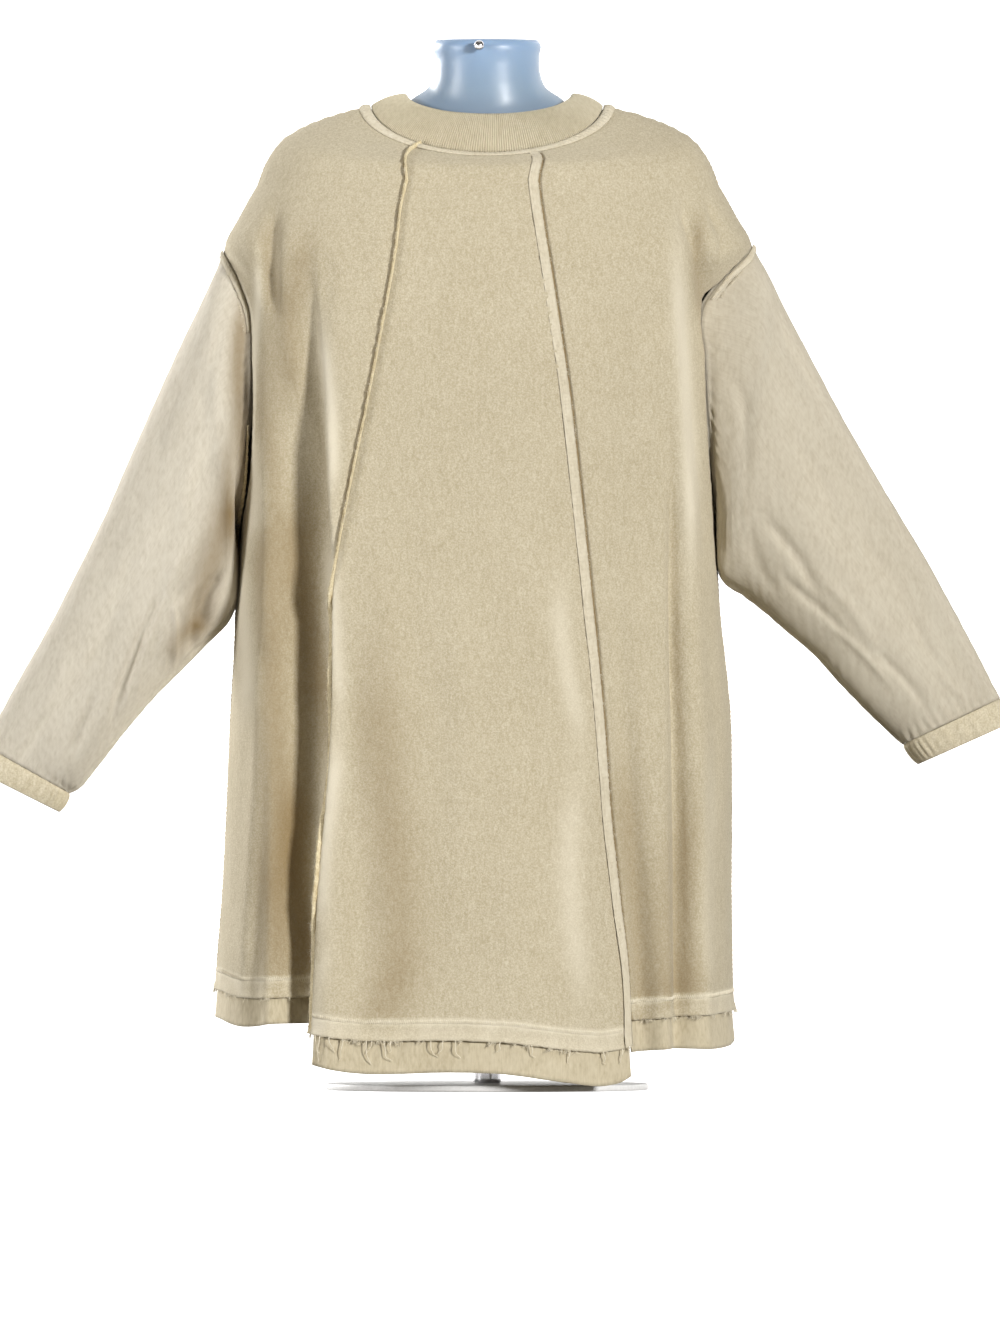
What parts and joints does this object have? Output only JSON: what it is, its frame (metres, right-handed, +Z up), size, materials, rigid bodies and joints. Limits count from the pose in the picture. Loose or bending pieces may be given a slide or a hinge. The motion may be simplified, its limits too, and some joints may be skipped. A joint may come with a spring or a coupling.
{
  "type": "oversized sweatshirt on a dress form",
  "caption": "Long A-line sweatshirt with exposed raw seams, rib collar, dropped shoulders and a stepped hem, worn by a limbless dress form on a round base.",
  "frame": {"origin": "centre of the stand base's flat underside, on the floor, below the middle of the neck", "axes": "+Z up; the garment's back faces -Y and its front +Y; +X is to the right as seen from behind"},
  "size_m": [0.937, 0.364, 0.945],
  "materials": {
    "fleece_body": "brushed cotton fleece, sewn with its napped reverse side out",
    "sleeve_jersey": "the same cotton with its smooth knitted face out",
    "cuff_band": "puckered cotton band with a raw edge",
    "rib_knit": "fine vertical rib knit",
    "seam_edge": "lighter raw-edged seam allowances and tape",
    "hem_band": "smooth cotton band under a frayed edge",
    "form_plastic": "glossy translucent pale blue plastic",
    "form_metal": "bright plated steel",
    "base_paint": "smooth white enamel"
  },
  "bodies": {
    "root": {"back_centre": "fleece_body", "back_left": "fleece_body", "back_right": "fleece_body", "front": "fleece_body", "sleeve_left": "sleeve_jersey", "sleeve_right": "sleeve_jersey", "cuff_left": "cuff_band", "cuff_right": "cuff_band", "collar": "rib_knit", "neck_tape": "seam_edge", "seam_back_left": "seam_edge", "seam_back_right": "seam_edge", "armhole_seam_left": "seam_edge", "armhole_seam_right": "seam_edge", "side_seam_left": "seam_edge", "side_seam_right": "seam_edge", "shoulder_seam_left": "seam_edge", "shoulder_seam_right": "seam_edge", "hem_back_centre": "hem_band", "hem_back_left": "hem_band", "hem_back_right": "hem_band", "hem_front": "hem_band", "form_body": "form_plastic", "form_knob": "form_metal", "form_pole": "form_metal", "form_base": "base_paint"}
  },
  "joints": []
}
